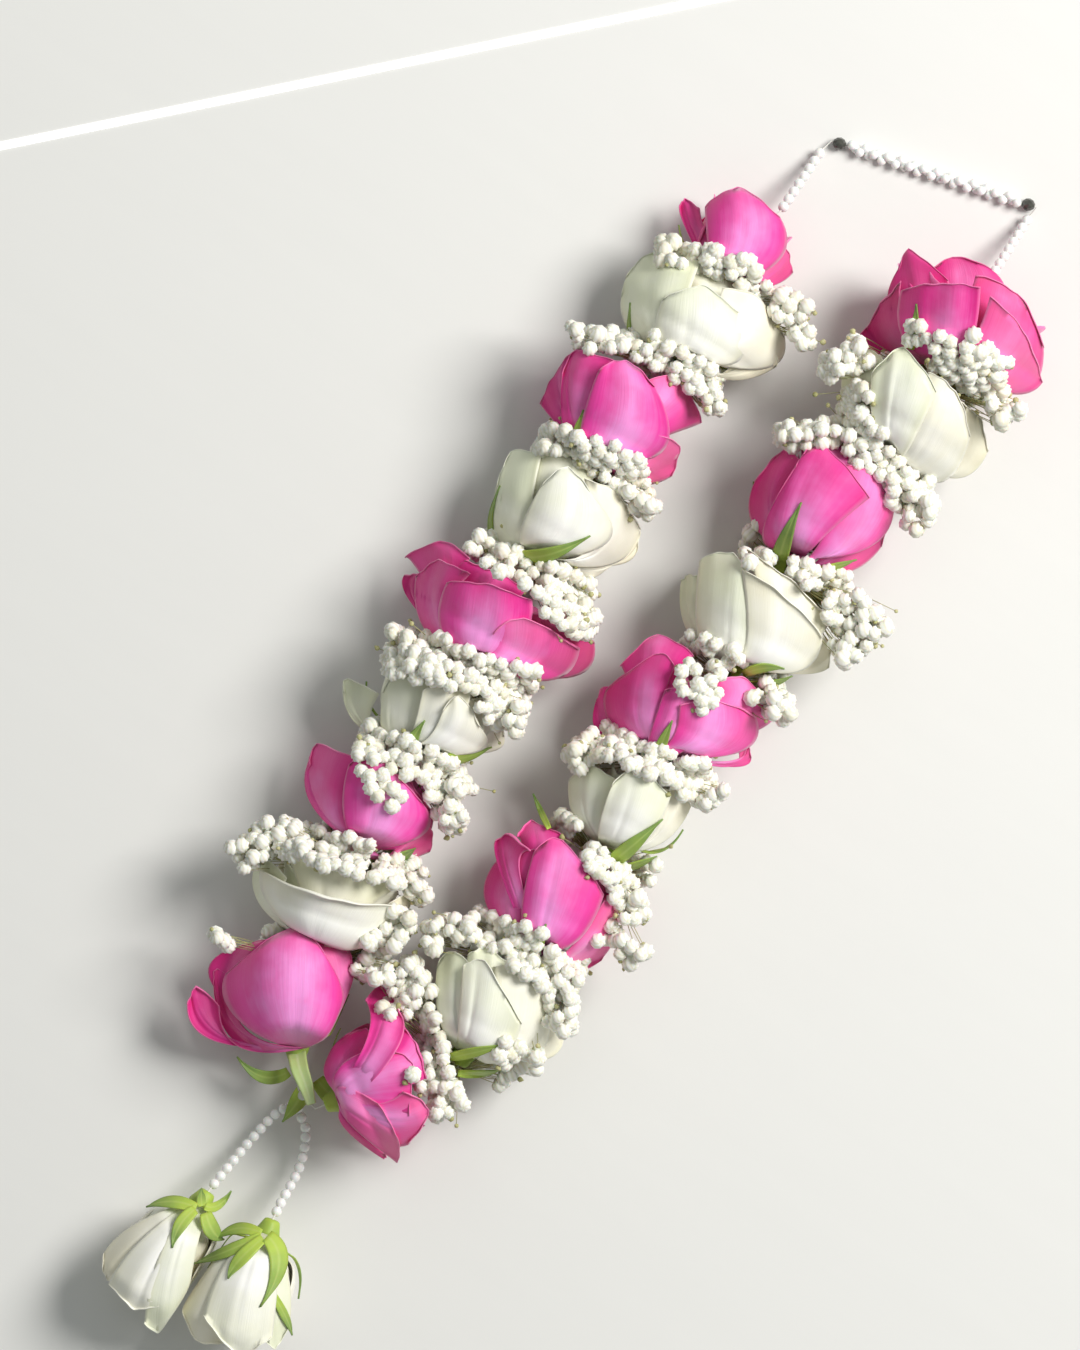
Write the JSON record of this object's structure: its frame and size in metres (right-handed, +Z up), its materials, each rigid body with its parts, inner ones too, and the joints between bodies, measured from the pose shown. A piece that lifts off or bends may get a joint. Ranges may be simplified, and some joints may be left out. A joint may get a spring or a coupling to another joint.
{
  "type": "flower garland",
  "caption": "Double-strand garland of pink and white roses with gypsophila between them, a pearl neck string and pearl tassels ending in roses.",
  "frame": {"origin": "centre of the garland's box in plan, on the surface that it lies on", "axes": "+Y along the garland from the tassels to the neck string, +X across both strands to the right as seen from above, +Z up from the surface"},
  "size_m": [0.1512, 0.5278, 0.0636],
  "materials": {
    "pink_petal": "soft petal",
    "white_petal": "soft petal",
    "sepal_green": "waxy leaf",
    "gypsophila": "soft petal",
    "pearl": "pearly",
    "dark_bead": "faceted gloss",
    "thread": "twisted thread"
  },
  "bodies": {
    "root": {"bloom_l1": "pink_petal", "bloom_l2": "white_petal", "bloom_l3": "pink_petal", "bloom_l4": "white_petal", "bloom_l5": "pink_petal", "bloom_l6": "white_petal", "bloom_l7": "pink_petal", "bloom_l8": "white_petal", "bloom_l9": "pink_petal", "bloom_r1": "pink_petal", "bloom_r2": "white_petal", "bloom_r3": "pink_petal", "bloom_r4": "white_petal", "bloom_r5": "pink_petal", "bloom_r6": "white_petal", "bloom_r7": "pink_petal", "bloom_r8": "white_petal", "bloom_r9": "pink_petal", "bloom_tassel_left": "white_petal", "bloom_tassel_right": "white_petal", "calyx_l1": "sepal_green", "calyx_l2": "sepal_green", "calyx_l3": "sepal_green", "calyx_l4": "sepal_green", "calyx_l5": "sepal_green", "calyx_l6": "sepal_green", "calyx_l7": "sepal_green", "calyx_l8": "sepal_green", "calyx_l9": "sepal_green", "calyx_r1": "sepal_green", "calyx_r2": "sepal_green", "calyx_r3": "sepal_green", "calyx_r4": "sepal_green", "calyx_r5": "sepal_green", "calyx_r6": "sepal_green", "calyx_r7": "sepal_green", "calyx_r8": "sepal_green", "calyx_r9": "sepal_green", "calyx_tassel_left": "sepal_green", "calyx_tassel_right": "sepal_green", "dark_bead_left": "dark_bead", "dark_bead_right": "dark_bead", "pearl_bar": "pearl", "pearl_leg_left": "pearl", "pearl_leg_right": "pearl", "spray_l2_l1": "gypsophila", "spray_l3_l2": "gypsophila", "spray_l4_l3": "gypsophila", "spray_l5_l4": "gypsophila", "spray_l6_l5": "gypsophila", "spray_l7_l6": "gypsophila", "spray_l9_l8_l7": "gypsophila", "spray_r3_r2_r1": "gypsophila", "spray_r4_r3": "gypsophila", "spray_r5_r4": "gypsophila", "spray_r6_r5": "gypsophila", "spray_r7_r6": "gypsophila", "spray_r9_r8_r7": "gypsophila", "tassel_pearls": "pearl", "thread": "thread"}
  },
  "joints": []
}
